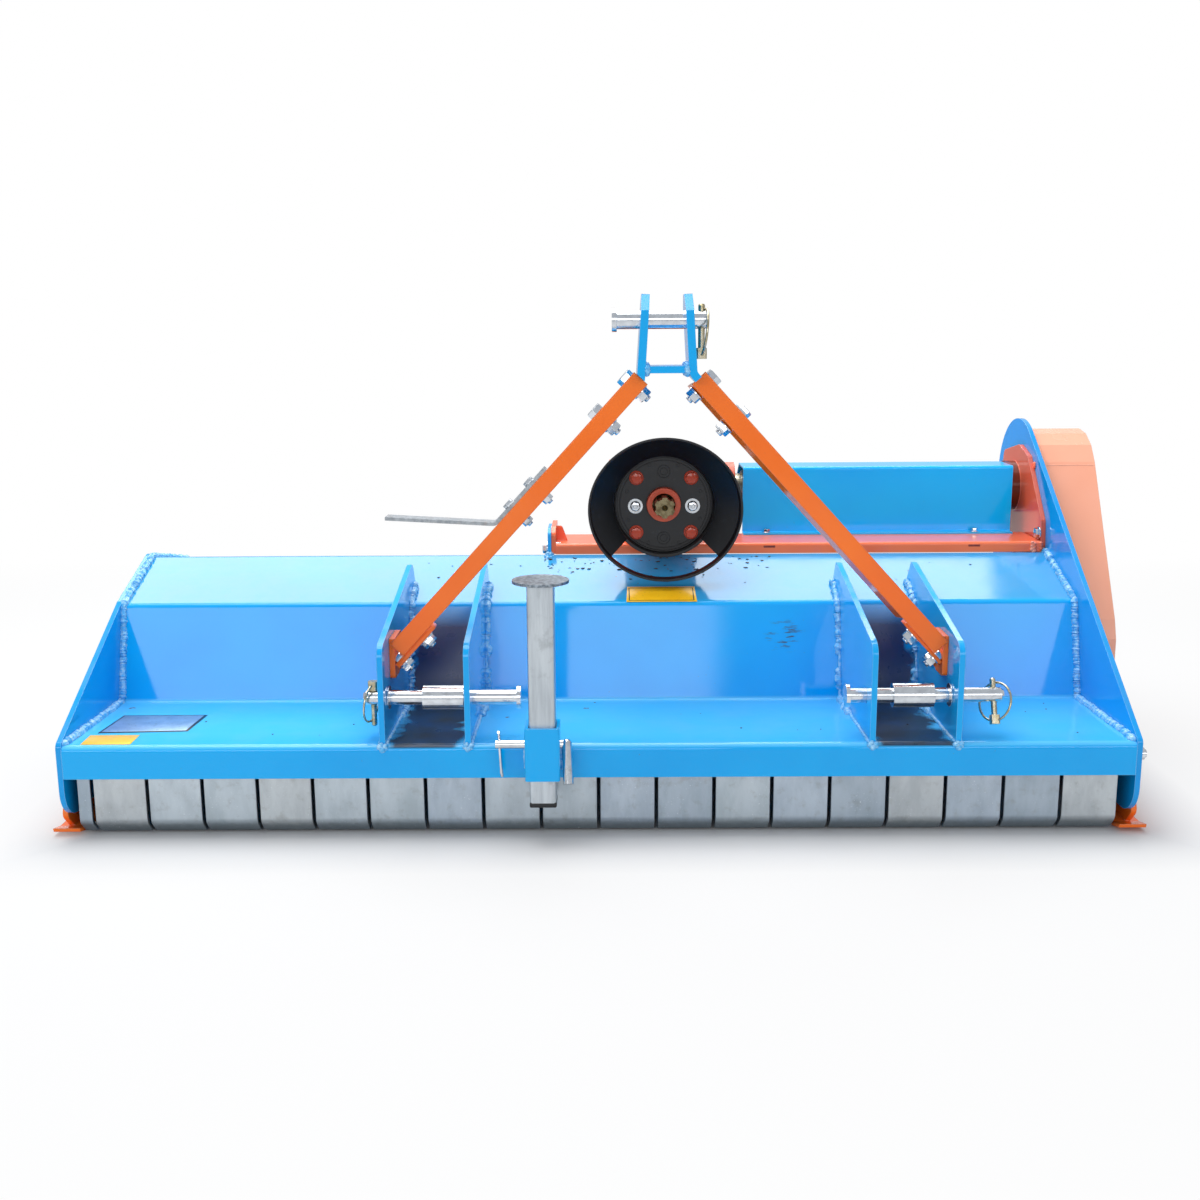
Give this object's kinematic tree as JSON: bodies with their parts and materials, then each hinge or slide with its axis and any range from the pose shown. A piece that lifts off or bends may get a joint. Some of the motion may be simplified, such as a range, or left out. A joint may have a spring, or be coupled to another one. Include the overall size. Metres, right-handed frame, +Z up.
{
  "type": "tractor-mounted flail mulcher",
  "caption": "Flail mulcher for a three-point hitch: folded hood, hammer rotor with belt drive, hanging front flaps, skids, rear roller and a parking stand stored in its socket.",
  "frame": {"origin": "centre of the bottom of the whole box, on the floor", "axes": "+Z up, +Y towards the rear roller, away from the tractor, +X to the right of someone facing the machine from the tractor; the rotor lies along X"},
  "size_m": [1.726, 0.985, 0.7817],
  "materials": {
    "blue_paint": "gloss",
    "orange_paint": "gloss",
    "gearbox_paint": "satin",
    "rotor_paint": "satin",
    "forged_steel": "as forged",
    "black_paint": "satin",
    "machined_steel": "oiled",
    "zinc_plate": "bright zinc plate",
    "galvanised_steel": "dull zinc",
    "black_plastic": "moulded",
    "curtain_rubber": "matt"
  },
  "bodies": {
    "frame": {"beam_lug": "blue_paint", "bearing_plate": "orange_paint", "belt_guard": "orange_paint", "curtain_strip": "galvanised_steel", "flap_rod": "zinc_plate", "gearbox": "gearbox_paint", "hitch_plates_left": "blue_paint", "hitch_plates_right": "blue_paint", "hood": "blue_paint", "input_seal": "gearbox_paint", "linch_pins": "zinc_plate", "lower_pin_left": "zinc_plate", "lower_pin_right": "zinc_plate", "pin_sleeves": "zinc_plate", "pto_guard": "black_plastic", "rear_curtain": "curtain_rubber", "roller_bracket_left": "blue_paint", "roller_bracket_right": "blue_paint", "rotor_bearings": "black_paint", "shaft_cover": "blue_paint", "shaft_hanger": "galvanised_steel", "side_plate_left": "blue_paint", "side_plate_right": "blue_paint", "skid_left": "orange_paint", "skid_right": "orange_paint", "stand_pin": "zinc_plate", "stand_socket": "blue_paint", "stay_left": "orange_paint", "stay_right": "orange_paint", "support_beam": "orange_paint", "top_clevis": "blue_paint", "top_pin": "zinc_plate"},
    "rotor": {"rotor": "rotor_paint", "hammer_lugs": "rotor_paint", "hammers": "forged_steel"},
    "cross_shaft": {"cross_shaft": "machined_steel"},
    "pto_shaft": {"pto_shaft": "machined_steel"},
    "roller": {"roller": "black_paint"},
    "stand_leg": {"stand_leg": "galvanised_steel"},
    "flap_00": {"flap_00": "galvanised_steel"},
    "flap_01": {"flap_01": "galvanised_steel"},
    "flap_02": {"flap_02": "galvanised_steel"},
    "flap_03": {"flap_03": "galvanised_steel"},
    "flap_04": {"flap_04": "galvanised_steel"},
    "flap_05": {"flap_05": "galvanised_steel"},
    "flap_06": {"flap_06": "galvanised_steel"},
    "flap_07": {"flap_07": "galvanised_steel"},
    "flap_08": {"flap_08": "galvanised_steel"},
    "flap_09": {"flap_09": "galvanised_steel"},
    "flap_10": {"flap_10": "galvanised_steel"},
    "flap_11": {"flap_11": "galvanised_steel"},
    "flap_12": {"flap_12": "galvanised_steel"},
    "flap_13": {"flap_13": "galvanised_steel"},
    "flap_14": {"flap_14": "galvanised_steel"},
    "flap_15": {"flap_15": "galvanised_steel"},
    "flap_16": {"flap_16": "galvanised_steel"},
    "flap_17": {"flap_17": "galvanised_steel"},
    "flap_18": {"flap_18": "galvanised_steel"}
  },
  "joints": [
    {"name": "rotor_spin", "type": "hinge", "parent": "frame", "child": "rotor", "pos_m": [-0.027, 0.0625, 0.185], "axis": [1, 0, 0], "continuous": true},
    {"name": "cross_shaft_spin", "type": "hinge", "parent": "frame", "child": "cross_shaft", "pos_m": [0.373, 0.2125, 0.44], "axis": [1, 0, 0], "continuous": true},
    {"name": "pto_shaft_spin", "type": "hinge", "parent": "frame", "child": "pto_shaft", "pos_m": [0.084, -0.0075, 0.44], "axis": [0, 1, 0], "continuous": true},
    {"name": "roller_spin", "type": "hinge", "parent": "frame", "child": "roller", "pos_m": [-0.027, 0.4225, 0.07], "axis": [1, 0, 0], "continuous": true},
    {"name": "stand_slide", "type": "slide", "parent": "frame", "child": "stand_leg", "axis": [0, 0, 1], "range_m": [-0.055, 0.09]},
    {"name": "flap_00_swing", "type": "hinge", "parent": "frame", "child": "flap_00", "pos_m": [-0.7855, -0.4035, 0.118], "axis": [1, 0, 0], "range_deg": [0, 75]},
    {"name": "flap_01_swing", "type": "hinge", "parent": "frame", "child": "flap_01", "pos_m": [-0.73276, -0.4035, 0.118], "axis": [1, 0, 0], "range_deg": [0, 75]},
    {"name": "flap_02_swing", "type": "hinge", "parent": "frame", "child": "flap_02", "pos_m": [-0.65127, -0.4035, 0.118], "axis": [1, 0, 0], "range_deg": [0, 75]},
    {"name": "flap_03_swing", "type": "hinge", "parent": "frame", "child": "flap_03", "pos_m": [-0.56978, -0.4035, 0.118], "axis": [1, 0, 0], "range_deg": [0, 75]},
    {"name": "flap_04_swing", "type": "hinge", "parent": "frame", "child": "flap_04", "pos_m": [-0.48829, -0.4035, 0.118], "axis": [1, 0, 0], "range_deg": [0, 75]},
    {"name": "flap_05_swing", "type": "hinge", "parent": "frame", "child": "flap_05", "pos_m": [-0.4068, -0.4035, 0.118], "axis": [1, 0, 0], "range_deg": [0, 75]},
    {"name": "flap_06_swing", "type": "hinge", "parent": "frame", "child": "flap_06", "pos_m": [-0.32361, -0.4035, 0.118], "axis": [1, 0, 0], "range_deg": [0, 75]},
    {"name": "flap_07_swing", "type": "hinge", "parent": "frame", "child": "flap_07", "pos_m": [-0.23872, -0.4035, 0.118], "axis": [1, 0, 0], "range_deg": [0, 75]},
    {"name": "flap_08_swing", "type": "hinge", "parent": "frame", "child": "flap_08", "pos_m": [-0.15383, -0.4035, 0.118], "axis": [1, 0, 0], "range_deg": [0, 75]},
    {"name": "flap_09_swing", "type": "hinge", "parent": "frame", "child": "flap_09", "pos_m": [-0.06894, -0.4035, 0.118], "axis": [1, 0, 0], "range_deg": [0, 75]},
    {"name": "flap_10_swing", "type": "hinge", "parent": "frame", "child": "flap_10", "pos_m": [0.01594, -0.4035, 0.118], "axis": [1, 0, 0], "range_deg": [0, 75]},
    {"name": "flap_11_swing", "type": "hinge", "parent": "frame", "child": "flap_11", "pos_m": [0.10083, -0.4035, 0.118], "axis": [1, 0, 0], "range_deg": [0, 75]},
    {"name": "flap_12_swing", "type": "hinge", "parent": "frame", "child": "flap_12", "pos_m": [0.18572, -0.4035, 0.118], "axis": [1, 0, 0], "range_deg": [0, 75]},
    {"name": "flap_13_swing", "type": "hinge", "parent": "frame", "child": "flap_13", "pos_m": [0.27061, -0.4035, 0.118], "axis": [1, 0, 0], "range_deg": [0, 75]},
    {"name": "flap_14_swing", "type": "hinge", "parent": "frame", "child": "flap_14", "pos_m": [0.3555, -0.4035, 0.118], "axis": [1, 0, 0], "range_deg": [0, 75]},
    {"name": "flap_15_swing", "type": "hinge", "parent": "frame", "child": "flap_15", "pos_m": [0.44039, -0.4035, 0.118], "axis": [1, 0, 0], "range_deg": [0, 75]},
    {"name": "flap_16_swing", "type": "hinge", "parent": "frame", "child": "flap_16", "pos_m": [0.52528, -0.4035, 0.118], "axis": [1, 0, 0], "range_deg": [0, 75]},
    {"name": "flap_17_swing", "type": "hinge", "parent": "frame", "child": "flap_17", "pos_m": [0.61017, -0.4035, 0.118], "axis": [1, 0, 0], "range_deg": [0, 75]},
    {"name": "flap_18_swing", "type": "hinge", "parent": "frame", "child": "flap_18", "pos_m": [0.69506, -0.4035, 0.118], "axis": [1, 0, 0], "range_deg": [0, 75]}
  ],
  "couplings": [
    {"joint": "cross_shaft_spin", "follows": "rotor_spin", "ratio": 0.76923},
    {"joint": "pto_shaft_spin", "follows": "rotor_spin", "ratio": 0.25641}
  ]
}
